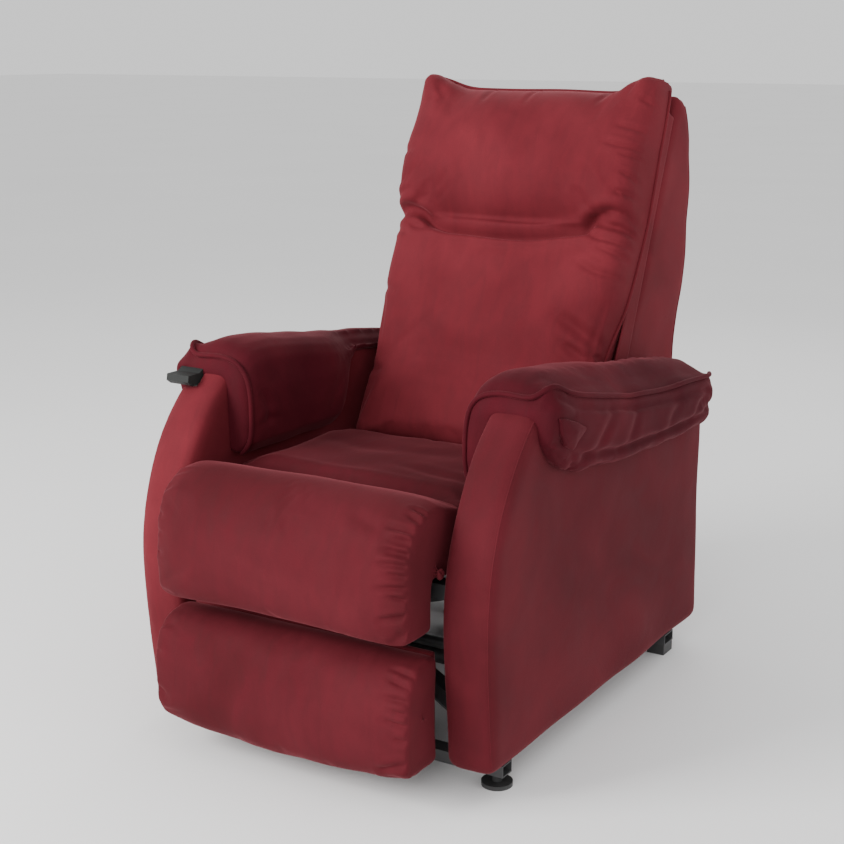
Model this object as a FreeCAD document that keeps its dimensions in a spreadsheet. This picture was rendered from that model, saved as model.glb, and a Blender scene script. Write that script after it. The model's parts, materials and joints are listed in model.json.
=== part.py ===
import FreeCAD, Part
import math
import os
from collections import namedtuple

import Sketcher

# Lift recliner chair. Millimetres, +Z up, the front of the chair towards -Y.
# The origin is on the floor under the middle of the chair's bounding box.

doc = FreeCAD.newDocument("lift_recliner")
dims = doc.addObject("Spreadsheet::Sheet", "Dims")
nodes = {}
Arc = namedtuple("Arc", "middle end")

DRIVING_DIMENSIONS = {
    # arms
    "arm_inner": 250.0, "arm_thick": 85.0, "arm_floor": 50.0, "arm_round": 18.0,
    "pad_inner": 240.0, "pad_outer": 352.0, "pad_drape_outer": 366.0, "drape_inner": 226.0,
    # layers of the mechanism, inner faces, counted outward from the middle plane
    "plate_layer": 242.0, "guide_layer": 234.0, "arm_layer": 226.0, "bracket_layer": 218.0,
    "steel": 6.0, "board_rod_layer": 198.0, "rear_link_layer": 189.0, "front_link_layer": 180.0,
    "control_layer": 171.0, "v_flange_layer": 206.0, "knee_flange_layer": 172.0,
    "back_bracket_layer": 232.0, "back_bracket_steel": 5.0,
    # base frame
    "rail_low": 20.0, "rail_top": 40.0, "rail_wall": 2.0, "base_half": 315.0,
    "front_tube_front": -350.0, "front_tube_rear": -320.0,
    "rear_tube_front": 285.0, "rear_tube_rear": 325.0,
    "foot_spread": 297.0, "foot_disc": 25.0,
    # lift four-bar
    "lift_base_y": -140.0, "lift_base_z": 100.0, "lift_seat_y": 278.0, "lift_seat_z": 70.0,
    "guide_base_y": -194.7, "guide_base_z": 93.8, "guide_seat_y": 111.0, "guide_seat_z": 66.0,
    "shaft_rad": 14.0, "horn_y": -153.8, "horn_z": 178.8, "drive_y": 270.0, "drive_z": 73.0,
    "drive_side": 60.0, "drive_open_hole": 13.0,
    # legrest linkage
    "leg_pivot_y": -228.0, "leg_pivot_z": 285.0, "leg_knee_y": -247.0, "leg_knee_z": 83.0,
    "leg_board_y": -391.0, "leg_board_z": 203.0, "leg_tail_y": -219.0, "leg_tail_z": 80.0,
    "control_y": -181.5, "control_z": 299.9, "rod_low_y": -253.4, "rod_low_z": 46.7,
    "rod_high_y": -392.0, "rod_high_z": 170.0, "leg_tie_y": -262.0, "leg_tie_z": 180.0,
    "pin_rad": 5.0, "pin_hole": 5.1, "open_hole": 7.0,
    # backrest
    "hinge_y": 150.0, "hinge_z": 390.0, "hinge_rad": 8.0, "bar_y": 217.0, "bar_z": 309.0,
    "bar_rad": 9.0, "back_drive_y": -96.0, "back_drive_z": 283.0, "back_open_hole": 12.5,
    "back_half": 231.0, "shell_half": 231.5, "board_half": 232.0,
    # soft parts
    "seat_half": 243.0, "bolster_half": 244.0, "legrest_half": 246.0, "legrest_board_half": 225.0,
    # handset
    "handset_left": -350.0, "handset_wide": 47.0, "handset_low": 568.0,
    "button_wide": 8.0, "button_gap": 0.3,
}

for row, (alias, value) in enumerate(DRIVING_DIMENSIONS.items(), start=1):
    dims.set(f"A{row}", alias)
    dims.set(f"B{row}", str(value))
    dims.setAlias(f"B{row}", alias)
doc.recompute()


def size(alias):
    return float(dims.get(alias))


def term(value):
    """A number and the expression that gives it: value is a number, an alias or (alias, offset)."""
    if isinstance(value, str):
        return size(value), f"Dims.{value}"
    if isinstance(value, tuple):
        alias, offset = value
        return size(alias) + offset, f"Dims.{alias} + ({offset})"
    return float(value), None


def bind(obj, prop, value):
    number, expression = term(value)
    if expression is None:
        return number
    obj.setExpression(prop, expression)
    return number


def keep(name, obj):
    obj.Label = name
    nodes[name] = obj
    return obj


# ---------------------------------------------------------------- sketch helpers

def origin_plane(body, role):
    return next(f for f in body.Origin.OriginFeatures if f.Role == role)


def new_sketch(body, name, role="YZ_Plane"):
    sketch = body.newObject("Sketcher::SketchObject", name)
    sketch.AttachmentSupport = [(origin_plane(body, role), "")]
    sketch.MapMode = "FlatFace"
    return sketch


def fix_coordinate(sketch, kind, index, position, value):
    number, expression = term(value)
    constraint = sketch.addConstraint(Sketcher.Constraint(kind, -1, 1, index, position, number))
    if expression:
        sketch.setExpression(f"Constraints[{constraint}]", expression)


def fix_point(sketch, index, position, point):
    fix_coordinate(sketch, "DistanceX", index, position, point[0])
    fix_coordinate(sketch, "DistanceY", index, position, point[1])


def vector(point):
    return FreeCAD.Vector(term(point[0])[0], term(point[1])[0], 0)


def end_point(entry):
    return entry.end if isinstance(entry, Arc) else entry


def draw_outline(sketch, outline):
    """Closed outline on the (y, z) plane: each entry is an end point, or an Arc to its end point."""
    ends = []
    for index, entry in enumerate(outline):
        start = vector(end_point(outline[index - 1]))
        end = vector(end_point(entry))
        if isinstance(entry, Arc):
            geometry = Part.Arc(start, vector(entry.middle), end)
        else:
            geometry = Part.LineSegment(start, end)
        sketch.addGeometry(geometry, False)
        turned = sketch.getPoint(index, 1).distanceToPoint(start) > sketch.getPoint(index, 2).distanceToPoint(start)
        ends.append((2, 1) if turned else (1, 2))
    for index in range(len(outline)):
        after = (index + 1) % len(outline)
        sketch.addConstraint(Sketcher.Constraint("Coincident", index, ends[index][1], after, ends[after][0]))
    for index, entry in enumerate(outline):
        fix_point(sketch, index, ends[index][1], end_point(entry))
        if isinstance(entry, Arc):
            radius = sketch.Geometry[index].Radius
            sketch.addConstraint(Sketcher.Constraint("Radius", index, radius))


def draw_capsule(sketch, first, second, radius):
    """Outline of a link: two round ends of one radius about its pivots, joined by straight sides."""
    start, end = vector(first), vector(second)
    along = math.atan2(end.y - start.y, end.x - start.x)
    rad, rad_expression = term(radius)
    side = FreeCAD.Vector(-math.sin(along), math.cos(along), 0) * rad
    normal = FreeCAD.Vector(0, 0, 1)
    quarter = math.pi / 2
    sketch.addGeometry(Part.ArcOfCircle(Part.Circle(start, normal, rad), along + quarter, along + 3 * quarter), False)
    sketch.addGeometry(Part.LineSegment(start - side, end - side), False)
    sketch.addGeometry(Part.ArcOfCircle(Part.Circle(end, normal, rad), along - quarter, along + quarter), False)
    sketch.addGeometry(Part.LineSegment(end + side, start + side), False)
    sketch.addConstraint([
        Sketcher.Constraint("Tangent", 0, 2, 1, 1),
        Sketcher.Constraint("Tangent", 1, 2, 2, 1),
        Sketcher.Constraint("Tangent", 2, 2, 3, 1),
        Sketcher.Constraint("Tangent", 3, 2, 0, 1),
    ])
    fix_point(sketch, 0, 3, first)
    fix_point(sketch, 2, 3, second)
    constraint = sketch.addConstraint(Sketcher.Constraint("Radius", 0, rad))
    if rad_expression:
        sketch.setExpression(f"Constraints[{constraint}]", rad_expression)


def draw_holes(sketch, holes):
    for index, (centre, radius) in enumerate(holes):
        rad, rad_expression = term(radius)
        sketch.addGeometry(Part.Circle(vector(centre), FreeCAD.Vector(0, 0, 1), rad), False)
        fix_point(sketch, index, 3, centre)
        constraint = sketch.addConstraint(Sketcher.Constraint("Radius", index, rad))
        if rad_expression:
            sketch.setExpression(f"Constraints[{constraint}]", rad_expression)


# ---------------------------------------------------------------- solids

def sided(side, inner, thick):
    """Low x of a piece that lies between inner and inner + thick on the +X (1) or -X (-1) side."""
    inner_number, inner_expression = term(inner)
    thick_number, thick_expression = term(thick)
    if side > 0:
        return inner_number, inner_expression or str(inner_number)
    low = -(inner_number + thick_number)
    return low, f"-({inner_expression or inner_number} + {thick_expression or thick_number})"


def extrude(body, sketch, name, thick):
    pad = body.newObject("PartDesign::Pad", name)
    pad.Profile = sketch
    pad.Length = bind(pad, "Length", thick)
    sketch.Visibility = False
    return pad


def place_x(obj, low):
    number, expression = low
    obj.Placement.Base = FreeCAD.Vector(number, 0, 0)
    if expression:
        obj.setExpression(".Placement.Base.x", expression)


def cut_holes(body, name, holes, depth):
    """Pockets run along +X, into the pad, so the pocket is reversed and its volume is checked."""
    doc.recompute()
    before = body.Shape.Volume
    sketch = new_sketch(body, f"{name}_hole_sketch")
    draw_holes(sketch, holes)
    pocket = body.newObject("PartDesign::Pocket", f"{name}_holes")
    pocket.Profile = sketch
    pocket.Reversed = True
    pocket.Length = bind(pocket, "Length", depth)
    sketch.Visibility = False
    doc.recompute()
    if not body.Shape.Volume < before - 1.0:
        raise RuntimeError(f"{name}: the holes cut nothing")


def plate(name, outline, side, inner, thick, holes=(), hole_depth=None, round_edges=0.0):
    """A flat piece: an outline in the (y, z) plane, extruded along X on one side of the chair."""
    body = doc.addObject("PartDesign::Body", name)
    sketch = new_sketch(body, f"{name}_sketch")
    draw_outline(sketch, outline)
    pad = extrude(body, sketch, f"{name}_pad", thick)
    if round_edges:
        doc.recompute()
        fillet = body.newObject("PartDesign::Fillet", f"{name}_round")
        fillet.Base = (pad, [f"Edge{n + 1}" for n in range(len(pad.Shape.Edges))])
        fillet.Radius = round_edges
    if holes:
        cut_holes(body, name, holes, hole_depth or thick)
    place_x(body, sided(side, inner, thick))
    return keep(name, body)


def middle_block(name, outline, half, round_edges=0.0):
    """A piece across the chair: an outline in the (y, z) plane, from -half to +half."""
    number, expression = term(half)
    body = doc.addObject("PartDesign::Body", name)
    sketch = new_sketch(body, f"{name}_sketch")
    draw_outline(sketch, outline)
    pad = body.newObject("PartDesign::Pad", f"{name}_pad")
    pad.Profile = sketch
    pad.Length = 2 * number
    if expression:
        pad.setExpression("Length", f"2 * ({expression})")
    sketch.Visibility = False
    if round_edges:
        doc.recompute()
        fillet = body.newObject("PartDesign::Fillet", f"{name}_round")
        fillet.Base = (pad, [f"Edge{n + 1}" for n in range(len(pad.Shape.Edges))])
        fillet.Radius = round_edges
    place_x(body, (-number, f"-({expression})" if expression else None))
    return keep(name, body)


def link(name, pivots, side, layer, radius, holes, thick="steel"):
    """A steel link through its pivots, in order, with holes as (pivot, radius) pairs."""
    body = doc.addObject("PartDesign::Body", name)
    for index, (first, second) in enumerate(zip(pivots, pivots[1:])):
        sketch = new_sketch(body, f"{name}_sketch{index}")
        draw_capsule(sketch, first, second, radius)
        extrude(body, sketch, f"{name}_pad{index}", thick)
    if holes:
        cut_holes(body, name, holes, thick)
    place_x(body, sided(side, layer, thick))
    return keep(name, body)


def box(name, x_low, x_high, y_low, y_high, z_low, z_high):
    solid = doc.addObject("Part::Box", name)
    for prop, axis, low, high in (("Length", "x", x_low, x_high), ("Width", "y", y_low, y_high),
                                  ("Height", "z", z_low, z_high)):
        low_number, low_expression = term(low)
        high_number, high_expression = term(high)
        setattr(solid, prop, high_number - low_number)
        if low_expression or high_expression:
            solid.setExpression(prop, f"({high_expression or high_number}) - ({low_expression or low_number})")
        if low_expression:
            solid.setExpression(f".Placement.Base.{axis}", low_expression)
        else:
            setattr(solid.Placement.Base, axis, low_number)
    base = FreeCAD.Vector(term(x_low)[0], term(y_low)[0], term(z_low)[0])
    solid.Placement = FreeCAD.Placement(base, FreeCAD.Rotation())
    return solid


def side_box(name, side, x_inner, x_outer, y_low, y_high, z_low, z_high):
    """A box between x_inner and x_outer, on the +X (1) or -X (-1) side."""
    inner, outer = term(x_inner)[0], term(x_outer)[0]
    low, high = (inner, outer) if side > 0 else (-outer, -inner)
    return box(name, low, high, y_low, y_high, z_low, z_high)


def pin(name, x_low, x_high, centre, radius):
    """A round bar along X."""
    solid = doc.addObject("Part::Cylinder", name)
    solid.Radius = bind(solid, "Radius", radius)
    solid.Height = x_high - x_low
    base = FreeCAD.Vector(x_low, term(centre[0])[0], term(centre[1])[0])
    solid.Placement = FreeCAD.Placement(base, FreeCAD.Rotation(FreeCAD.Vector(0, 1, 0), 90))
    for axis, value in zip("yz", centre):
        expression = term(value)[1]
        if expression:
            solid.setExpression(f".Placement.Base.{axis}", expression)
    return solid


def side_pin(name, side, x_inner, x_outer, centre, radius):
    low, high = (x_inner, x_outer) if side > 0 else (-x_outer, -x_inner)
    return pin(name, low, high, centre, radius)


def cut(name, base, tool):
    result = doc.addObject("Part::Cut", name)
    result.Base = base
    result.Tool = tool
    return result


def fuse(name, pieces):
    result = doc.addObject("Part::MultiFuse", name)
    result.Shapes = pieces
    return result


def pair(name, *singular):
    """Join the right and left copies of a piece, and any more named, into one sub-part."""
    pieces = []
    for piece in singular:
        pieces.append(nodes.pop(piece))
        pieces[-1].Label = f"{piece}_piece"
    return keep(name, fuse(f"{name}_pair", pieces))


def tube(name, x_low, x_high, y_low, y_high, along):
    """Rectangular steel tube of the base, lying at rail height, hollow along the named axis."""
    wall = size("rail_wall")
    z_low, z_high = "rail_low", "rail_top"
    outer = box(f"{name}_outer", x_low, x_high, y_low, y_high, z_low, z_high)
    if along == "x":
        inner = box(f"{name}_inner", x_low, x_high, term(y_low)[0] + wall, term(y_high)[0] - wall,
                    size(z_low) + wall, size(z_high) - wall)
    else:
        inner = box(f"{name}_inner", x_low + wall, x_high - wall, y_low, y_high,
                    size(z_low) + wall, size(z_high) - wall)
    return keep(name, cut(f"{name}_tube", outer, inner))


SIDES = ((-1, "right"), (1, "left"))
LIFT_BASE = ("lift_base_y", "lift_base_z")
LIFT_SEAT = ("lift_seat_y", "lift_seat_z")
GUIDE_BASE = ("guide_base_y", "guide_base_z")
GUIDE_SEAT = ("guide_seat_y", "guide_seat_z")
HORN = ("horn_y", "horn_z")
DRIVE = ("drive_y", "drive_z")
LEG_PIVOT = ("leg_pivot_y", "leg_pivot_z")
LEG_KNEE = ("leg_knee_y", "leg_knee_z")
LEG_BOARD = ("leg_board_y", "leg_board_z")
LEG_TAIL = ("leg_tail_y", "leg_tail_z")
LEG_TIE = ("leg_tie_y", "leg_tie_z")
CONTROL = ("control_y", "control_z")
ROD_LOW = ("rod_low_y", "rod_low_z")
ROD_HIGH = ("rod_high_y", "rod_high_z")
HINGE = ("hinge_y", "hinge_z")
BAR = ("bar_y", "bar_z")
BACK_DRIVE = ("back_drive_y", "back_drive_z")

# ---------------------------------------------------------------- base frame on the floor

half = size("base_half")
tube("base_front_tube", -half, half, "front_tube_front", "front_tube_rear", "x")
tube("base_rear_tube", -half, half, "rear_tube_front", "rear_tube_rear", "x")
for side, hand in SIDES:
    low, high = (215.0, 240.0) if side > 0 else (-240.0, -215.0)
    tube(f"base_side_rail_{hand}", low, high, "front_tube_rear", "rear_tube_front", "y")
    plate(f"base_lift_bracket_{hand}",
          [(-236.0, "rail_top"), (-92.0, "rail_top"), (-112.0, 124.0), (-168.0, 124.0), (-214.0, 106.0)],
          side, "bracket_layer", "steel", [(LIFT_BASE, ("shaft_rad", 0.3))])
    stem_x = side * size("foot_spread")
    disc = doc.addObject("Part::Cylinder", f"front_foot_disc_{hand}")
    disc.Radius = bind(disc, "Radius", "foot_disc")
    disc.Height = 7.0
    disc.Placement.Base = FreeCAD.Vector(stem_x, -335.0, 0)
    stem = doc.addObject("Part::Cylinder", f"front_foot_stem_{hand}")
    stem.Radius = 8.0
    stem.Height = bind(stem, "Height", "rail_low")
    stem.Placement.Base = FreeCAD.Vector(stem_x, -335.0, 0)
    keep(f"front_foot_{hand}", fuse(f"front_foot_solid_{hand}", [disc, stem]))
    rear_foot = box(f"rear_foot_block_{hand}", stem_x - 17.0, stem_x + 17.0, 285.0, 325.0, 0.0, "rail_low")
    keep(f"rear_foot_{hand}", rear_foot)

drive_x = -size("drive_side")
clevis = []
for label, x_low in (("outer", drive_x - 16.0), ("inner", drive_x + 11.0)):
    body = doc.addObject("PartDesign::Body", f"drive_clevis_{label}")
    sketch = new_sketch(body, f"drive_clevis_{label}_sketch")
    draw_capsule(sketch, DRIVE, (302.0, ("rail_top", 13.0)), 13.0)
    extrude(body, sketch, f"drive_clevis_{label}_pad", 5.0)
    place_x(body, (x_low, None))
    clevis.append(body)
clevis.append(pin("drive_clevis_pin", drive_x - 18.0, drive_x + 18.0, DRIVE, "pin_rad"))
keep("base_motor_bracket", fuse("base_motor_bracket_solid", clevis))
keep("base_pivot_pins", fuse("base_pivot_pins_solid", [
    side_pin(f"guide_pin_{hand}", side, 218.0, 241.0, GUIDE_BASE, 6.0) for side, hand in SIDES]))
for hand in ("left", "right"):
    bracket = nodes[f"base_lift_bracket_{hand}"]
    cut_holes(bracket, f"base_guide_seat_{hand}", [(GUIDE_BASE, 6.0)], "steel")

# ---------------------------------------------------------------- lift arms and their shaft

for side, hand in SIDES:
    link(f"lift_arm_{hand}", [LIFT_BASE, LIFT_SEAT], side, "arm_layer", 16.0, [(LIFT_SEAT, 8.0)])
    link(f"guide_link_{hand}", [GUIDE_BASE, GUIDE_SEAT], side, "guide_layer", 13.0,
         [(GUIDE_BASE, 6.1), (GUIDE_SEAT, 7.4)])
reach = size("arm_layer")
keep("lift_torque_shaft", pin("lift_torque_shaft_bar", -reach, reach, LIFT_BASE, "shaft_rad"))
keep("lift_arm_pins", fuse("lift_arm_pins_solid", [
    side_pin(f"lift_pin_{hand}", side, 226.0, 247.5, LIFT_SEAT, 8.0) for side, hand in SIDES]))
horn = []
for label, x_low in (("outer", drive_x - 16.0), ("inner", drive_x + 11.0)):
    body = doc.addObject("PartDesign::Body", f"lift_horn_{label}")
    sketch = new_sketch(body, f"lift_horn_{label}_sketch")
    draw_capsule(sketch, LIFT_BASE, HORN, 19.0)
    extrude(body, sketch, f"lift_horn_{label}_pad", 5.0)
    cut_holes(body, f"lift_horn_{label}", [(LIFT_BASE, "shaft_rad")], 5.0)
    place_x(body, (x_low, None))
    horn.append(body)
horn.append(pin("lift_horn_pin", drive_x - 18.0, drive_x + 18.0, HORN, "pin_rad"))
keep("lift_horn", fuse("lift_horn_solid", horn))

# ---------------------------------------------------------------- linear actuators

def actuator(name, side_x, start, end, hand, can_length, tube_end, rod_start, eye_outer, eye_hole):
    """Motor housing, motor, outer tube and rod, along the line from the start pivot to the end pivot."""
    run_y = size(end[0]) - size(start[0])
    run_z = size(end[1]) - size(start[1])
    length = math.hypot(run_y, run_z)
    tilt = FreeCAD.Rotation(FreeCAD.Vector(1, 0, 0), math.degrees(math.atan2(run_z, run_y)))
    frame = FreeCAD.Placement(FreeCAD.Vector(side_x, size(start[0]), size(start[1])), tilt)

    def local_box(label, low, high):
        solid = doc.addObject("Part::Box", label)
        solid.Length, solid.Width, solid.Height = (high[n] - low[n] for n in range(3))
        solid.Placement = frame.multiply(FreeCAD.Placement(FreeCAD.Vector(*low), FreeCAD.Rotation()))
        return solid

    def local_round(label, centre, radius, height, axis):
        solid = doc.addObject("Part::Cylinder", label)
        solid.Radius = bind(solid, "Radius", radius)
        solid.Height = height
        turn = (FreeCAD.Rotation(FreeCAD.Vector(1, 0, 0), -90) if axis == "along"
                else FreeCAD.Rotation(FreeCAD.Vector(0, 1, 0), 90))
        solid.Placement = frame.multiply(FreeCAD.Placement(FreeCAD.Vector(*centre), turn))
        return solid

    low_x, high_x = (-82.0, 24.0) if hand < 0 else (-24.0, 82.0)
    block = local_box(f"{name}_block", (low_x, 14.0, -24.0), (high_x, 60.0, 24.0))
    soft_block = doc.addObject("Part::Fillet", f"{name}_block_round")
    soft_block.Base = block
    soft_block.Edges = [(n + 1, 5.0, 5.0) for n in range(12)]
    lug = fuse(f"{name}_lug", [
        local_round(f"{name}_lug_eye", (-9.0, 0.0, 0.0), 12.0, 18.0, "across"),
        local_box(f"{name}_lug_neck", (-9.0, 0.0, -9.0), (9.0, 16.0, 9.0)),
        soft_block])
    lug_hole = local_round(f"{name}_lug_hole", (-12.0, 0.0, 0.0), "pin_hole", 24.0, "across")
    keep(f"{name}_housing", cut(f"{name}_housing_solid", lug, lug_hole))
    keep(f"{name}_can", local_round(f"{name}_can_solid", (56.0 * hand, 60.0, 0.0), 24.0, can_length, "along"))
    tube_outer = local_round(f"{name}_tube_outer", (0.0, 60.0, 0.0), 17.0, tube_end - 60.0, "along")
    tube_inner = local_round(f"{name}_tube_inner", (0.0, 59.0, 0.0), 10.0, tube_end - 57.0, "along")
    keep(f"{name}_tube", cut(f"{name}_tube_solid", tube_outer, tube_inner))
    rod = fuse(f"{name}_rod_full", [
        local_round(f"{name}_rod_bar", (0.0, rod_start, 0.0), 8.5, length - rod_start - eye_outer + 3.0, "along"),
        local_round(f"{name}_rod_eye", (-9.0, length, 0.0), eye_outer, 18.0, "across")])
    rod_hole = local_round(f"{name}_rod_hole", (-12.0, length, 0.0), eye_hole, 24.0, "across")
    keep(f"{name}_rod", cut(f"{name}_rod_solid", rod, rod_hole))


actuator("lift_motor", drive_x, DRIVE, HORN, -1, 112.0, 330.0, 200.0, 19.0, "drive_open_hole")
actuator("back_motor", -drive_x, BACK_DRIVE, BAR, 1, 70.0, 200.0, 130.0, 18.0, "back_open_hole")

# ---------------------------------------------------------------- seat carriage

for side, hand in SIDES:
    plate(f"seat_side_plate_{hand}",
          [(-400.0, 245.0), (-20.0, 245.0), (70.0, 200.0), (90.0, 52.0), (300.0, 52.0), (330.0, 80.0),
           (330.0, 334.0), (200.0, 334.0), (172.0, 408.0), (128.0, 408.0), (110.0, 334.0), (-400.0, 334.0)],
          side, "plate_layer", "steel",
          [(LIFT_SEAT, 8.1), (GUIDE_SEAT, 6.0), (HINGE, "hinge_rad")]
          + [((y, z), 4.2) for y, z in ((-330.0, 290.0), (300.0, 300.0), (300.0, 110.0), (0.0, 300.0))])
    keep(f"seat_pivot_pins_{hand}", fuse(f"seat_pivot_pins_solid_{hand}", [
        side_pin(f"guide_seat_pin_{hand}", side, 233.5, 248.0, GUIDE_SEAT, 6.0),
        side_pin(f"leg_pin_{hand}", side, 188.5, 242.0, LEG_PIVOT, "pin_rad"),
        side_pin(f"control_pin_{hand}", side, 170.5, 242.0, CONTROL, "pin_rad"),
        side_pin(f"hinge_pin_{hand}", side, 231.7, 248.0, HINGE, "hinge_rad")]))
    keep(f"arm_bolts_{hand}", fuse(f"arm_bolts_solid_{hand}", [
        side_pin(f"arm_bolt_{hand}_{index}", side, 240.0, 285.0, centre, 4.0)
        for index, centre in enumerate(((-330.0, 290.0), (300.0, 300.0), (300.0, 110.0), (0.0, 300.0)))]))

keep("seat_front_rail", box("seat_front_rail_bar", -242.0, 242.0, -380.0, -350.0, 305.0, 330.0))
keep("seat_rear_rail", box("seat_rear_rail_bar", -242.0, 242.0, 40.0, 80.0, 316.0, 330.0))
mid_rail = [box("seat_mid_rail_bar", -242.0, 242.0, -140.0, -115.0, 250.0, 275.0)]
for label, x_low in (("inner", -drive_x - 16.0), ("outer", -drive_x + 11.0)):
    body = doc.addObject("PartDesign::Body", f"back_clevis_{label}")
    sketch = new_sketch(body, f"back_clevis_{label}_sketch")
    draw_capsule(sketch, (-126.0, 275.0), BACK_DRIVE, 10.0)
    extrude(body, sketch, f"back_clevis_{label}_pad", 5.0)
    place_x(body, (x_low, None))
    mid_rail.append(body)
mid_rail.append(pin("back_clevis_pin", -drive_x - 18.0, -drive_x + 18.0, BACK_DRIVE, "pin_rad"))
keep("seat_mid_rail", fuse("seat_mid_rail_solid", mid_rail))
keep("seat_springs", fuse("seat_springs_solid", [
    box(f"seat_spring_{index}", x - 15.0, x + 15.0, -378.0, 78.0, 330.0, 333.0)
    for index, x in enumerate((-180.0, -90.0, 0.0, 90.0, 180.0))]))

middle_block("seat_cushion", [(-328.0, 336.0), (-2.0, 336.0), (-2.0, 440.0), (-30.0, 448.0), (-328.0, 448.0)],
             "seat_half", 12.0)
middle_block("seat_bolster",
             [(-430.0, 262.0), (-430.0, 340.0), (-332.0, 340.0), (-332.0, 452.0), (-400.0, 474.0),
              (-450.0, 474.0), (-494.0, 448.0), (-513.0, 400.0), (-517.0, 330.0), (-514.0, 275.0),
              (-505.0, 260.0)], "bolster_half", 7.0)

# the panel's front edge is one long curve, and its top slopes down to the back
panel_front = [(-417.0, "arm_floor"), Arc((-430.0, 200.0), (-436.0, 290.0)),
               Arc((-385.2, 480.0), (-244.4, 620.0))]
for side, hand in SIDES:
    panel = plate(f"arm_panel_{hand}",
                  [(395.0, "arm_floor")] + panel_front + [(380.0, 540.0)],
                  side, "arm_inner", "arm_thick", round_edges=size("arm_round"))
    drills = [side_pin(f"arm_drill_{hand}_{index}", side, 249.0, 290.0, centre, 4.2)
              for index, centre in enumerate(((-330.0, 290.0), (300.0, 300.0), (300.0, 110.0), (0.0, 300.0)))]
    if hand == "right":
        drills.append(side_box("handset_recess", side, 301.0, 340.0, -420.0, -160.0, 564.0, 700.0))
    panel.Label = f"arm_panel_blank_{hand}"
    keep(f"arm_panel_{hand}", cut(f"arm_panel_solid_{hand}", panel, fuse(f"arm_drills_{hand}", drills)))
    # the pad lies on the panel's sloping top, from its front roll to its pointed rear end
    plate(f"arm_pad_{hand}",
          [(-262.0, 611.0), (-244.4, 621.2), (380.0, 540.8), (396.0, 540.0), (330.0, 572.0), (200.0, 592.0),
           (0.0, 618.0), (-150.0, 643.0), (-225.0, 656.0), (-255.0, 648.0), (-266.0, 626.0)],
          side, "pad_inner", ("pad_outer", -size("pad_inner")), round_edges=4.0)
    plate(f"arm_drape_outer_{hand}",
          [(-255.0, 646.0), (-255.0, 520.0), (-215.0, 498.0), (360.0, 482.0), (385.0, 500.0), (396.0, 541.0),
           (330.0, 570.0), (200.0, 588.0), (0.0, 612.0), (-150.0, 637.0), (-225.0, 650.0)],
          side, "pad_outer", ("pad_drape_outer", -size("pad_outer")), round_edges=4.0)
    plate(f"arm_drape_inner_{hand}",
          [(-262.0, 636.0), (-268.0, 452.0), (-5.0, 452.0), (-5.0, 610.0), (-150.0, 632.0), (-225.0, 646.0)],
          side, "drape_inner", ("pad_inner", -size("drape_inner")), round_edges=4.0)

keep("rear_valance", box("rear_valance_board", -249.0, 249.0, 378.0, 390.0, 55.0, 165.0))

# ---------------------------------------------------------------- backrest

middle_block("back_frame", [(150.0, 405.0), (168.0, 398.0), (420.0, 1003.0), (403.0, 1010.0)], "board_half")
middle_block("back_cushion",
             [(12.0, 432.0), (28.0, 372.0), (124.0, 372.0), (402.0, 1035.0), (372.0, 1068.0), (342.0, 1068.0),
              (300.0, 1036.0), (246.0, 972.0), (214.0, 907.0), (203.0, 855.0), (222.0, 812.0), (188.0, 775.0),
              (150.0, 700.0), (128.0, 640.0), (103.0, 562.0), (60.0, 500.0)], "back_half", 7.0)
middle_block("back_shell",
             [(169.5, 396.0), (196.0, 352.0), (446.0, 352.0), (472.0, 460.0), (485.0, 540.0), (503.0, 700.0),
              (517.0, 860.0), (508.0, 960.0), (474.0, 1022.0), (440.0, 1036.0), (422.0, 1003.0)],
             "shell_half", 6.0)
bar_reach = size("back_bracket_layer")
keep("back_drive_bar", pin("back_drive_bar_solid", -bar_reach, bar_reach, BAR, "bar_rad"))
for side, hand in SIDES:
    link(f"back_hinge_bracket_{hand}", [BAR, HINGE, (232.0, 575.0)], side, "back_bracket_layer", 15.0,
         [(HINGE, 8.1)], "back_bracket_steel")

# ---------------------------------------------------------------- legrest

for side, hand in SIDES:
    link(f"leg_rear_link_{hand}", [LEG_PIVOT, (-238.0, "leg_tie_z"), LEG_TIE, (-238.0, "leg_tie_z"), LEG_KNEE, ROD_LOW],
         side, "rear_link_layer", 10.0, [(LEG_PIVOT, "pin_hole")])
    link(f"leg_front_link_{hand}", [LEG_TAIL, LEG_KNEE, LEG_BOARD], side, "front_link_layer", 10.0,
         [(LEG_KNEE, "pin_hole"), (LEG_BOARD, 8.0)])
    link(f"leg_control_link_{hand}", [CONTROL, LEG_TAIL], side, "control_layer", 12.0,
         [(CONTROL, "pin_hole"), (LEG_TAIL, ("open_hole", 1.2))])
    link(f"leg_board_rod_{hand}", [ROD_LOW, ROD_HIGH], side, "board_rod_layer", 9.5,
         [(ROD_LOW, "pin_hole"), (ROD_HIGH, "open_hole")])
    keep(f"leg_knee_pins_{hand}", fuse(f"leg_knee_pins_solid_{hand}", [
        side_pin(f"knee_pin_{hand}", side, 179.5, 189.0, LEG_KNEE, "pin_rad"),
        side_pin(f"rod_low_pin_{hand}", side, 195.0, 204.5, ROD_LOW, "pin_rad")]))
    flange = link(f"legrest_flange_knee_{hand}", [LEG_BOARD, (-399.0, 203.0)], side, "knee_flange_layer", 10.0,
                  [(LEG_BOARD, 8.1)])
    outer_flange = link(f"legrest_flange_rod_{hand}", [ROD_HIGH, (-398.0, 176.0)], side, "v_flange_layer", 10.0, [])
    web = side_box(f"legrest_web_{hand}", side, 172.0, 212.0, -409.0, -405.0, 150.0, 222.0)
    rod_pin = side_pin(f"rod_high_pin_{hand}", side, 197.5, 206.0, ROD_HIGH, "pin_rad")
    keep(f"legrest_bracket_{hand}", fuse(f"legrest_bracket_solid_{hand}", [flange, outer_flange, web, rod_pin]))
    del nodes[f"legrest_flange_knee_{hand}"]
    del nodes[f"legrest_flange_rod_{hand}"]

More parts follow.
